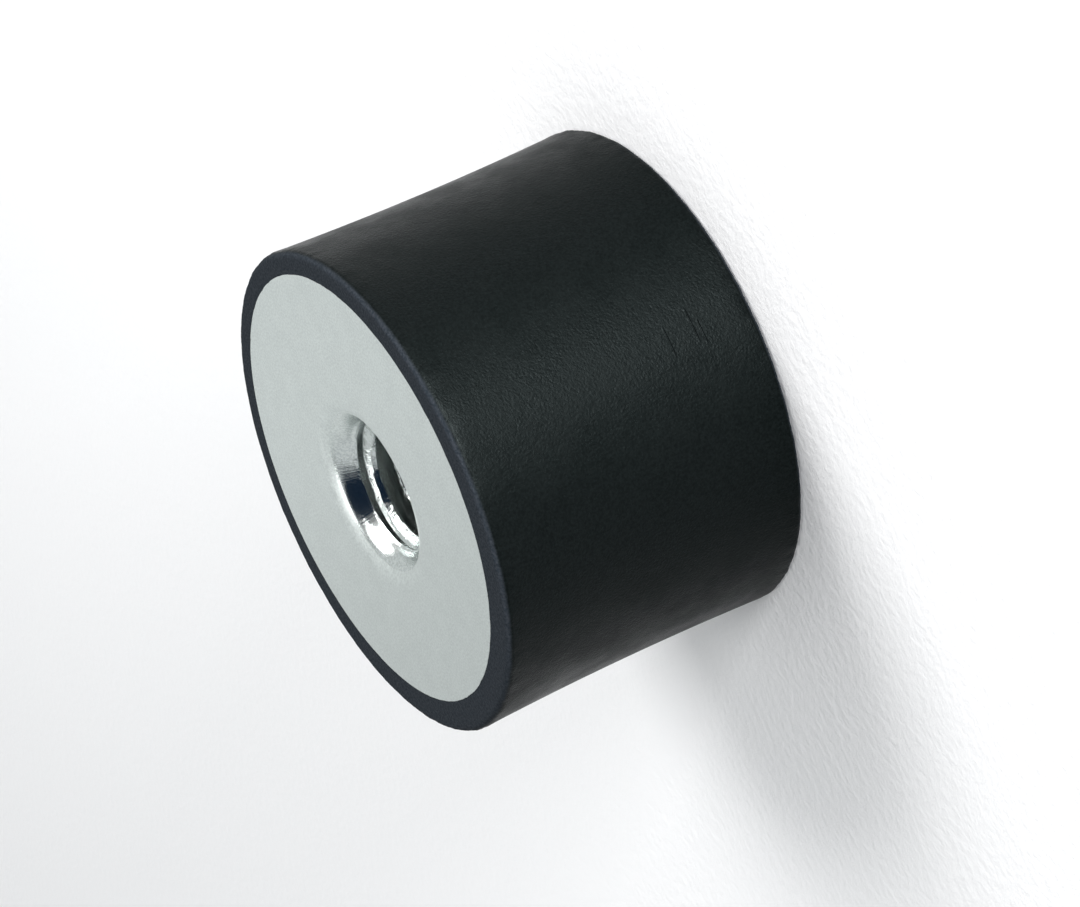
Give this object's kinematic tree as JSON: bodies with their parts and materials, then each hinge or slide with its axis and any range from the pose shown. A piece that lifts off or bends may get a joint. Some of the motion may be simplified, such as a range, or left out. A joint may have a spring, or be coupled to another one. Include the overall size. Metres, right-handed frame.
{
  "type": "bobbin vibration mount",
  "caption": "Cylindrical rubber vibration mount with a threaded steel plate moulded into each flat end, for bolting between a machine and its base.",
  "frame": {"origin": "centre of the lower end face, on the mount's axis", "axes": "+Z along the mount's axis, from the lower end face to the upper one; the body is round, so +X is free"},
  "size_m": [0.03, 0.03, 0.02],
  "materials": {
    "black_rubber": "matt, as moulded",
    "upper_zinc_plated_steel": "satin zinc plating, bright in the hole",
    "lower_zinc_plated_steel": "satin zinc plating, bright in the hole"
  },
  "bodies": {
    "root": {"rubber_body": "black_rubber", "upper_end_plate": "upper_zinc_plated_steel", "lower_end_plate": "lower_zinc_plated_steel"}
  },
  "joints": []
}
